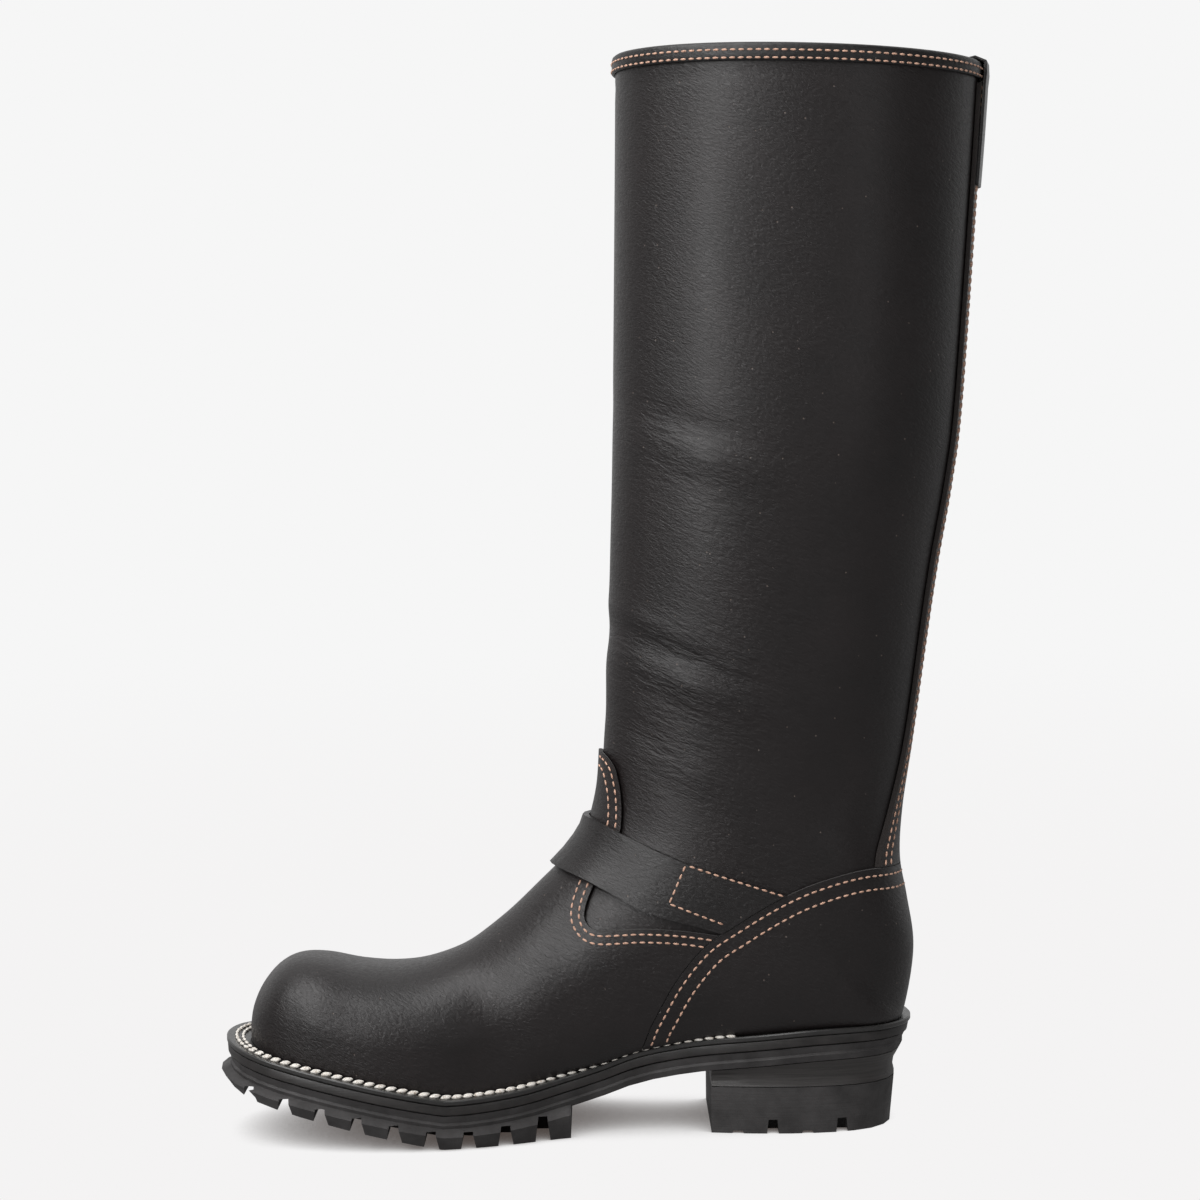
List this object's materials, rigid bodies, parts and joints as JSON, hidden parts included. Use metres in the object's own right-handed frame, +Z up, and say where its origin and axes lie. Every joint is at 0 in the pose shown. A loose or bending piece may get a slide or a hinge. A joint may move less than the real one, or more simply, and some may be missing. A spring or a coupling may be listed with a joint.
{
  "type": "engineer boot",
  "caption": "Tall pull-on leather boot for the right foot with a round toe, instep strap and buckle, welted lug sole and stacked heel",
  "frame": {"origin": "On the ground, at the middle of the heel's resting face, on the centre line of the heel", "axes": "+Z up; the toe points to -X and the heel to +X; the inner side of the foot faces -Y and the outer side +Y"},
  "size_m": [0.3449, 0.1165, 0.4724],
  "materials": {
    "outsole_rubber": "matte moulded black rubber",
    "lift_rubber": "matte moulded black rubber",
    "stacked_leather": "stacked leather lifts, edge dyed black",
    "midsole_leather": "edge dyed black leather",
    "welt_leather": "waxed black welt leather",
    "insole_leather": "natural vegetable tanned leather",
    "shaft_leather": "oiled black leather with fine grain",
    "counter_leather": "oiled black leather with fine grain",
    "vamp_leather": "oiled black leather with fine grain",
    "backstay_leather": "oiled black leather with fine grain",
    "binding_leather": "thin folded black leather",
    "pull_leather": "doubled black leather",
    "strap_leather": "oiled black leather with bevelled edges",
    "buckle_metal": "nickel plated wire"
  },
  "bodies": {
    "root": {"outsole": "outsole_rubber", "midsole": "midsole_leather", "welt": "welt_leather", "heel_base": "stacked_leather", "heel_toplift": "lift_rubber", "insole": "insole_leather", "upper": "shaft_leather", "counter": "counter_leather", "vamp": "vamp_leather", "backstay": "backstay_leather", "collar_binding": "binding_leather", "pull_strap": "pull_leather", "instep_strap": "strap_leather", "buckle_strap": "strap_leather", "strap_keeper": "strap_leather", "buckle_frame": "buckle_metal", "buckle_prong": "buckle_metal"}
  },
  "joints": []
}
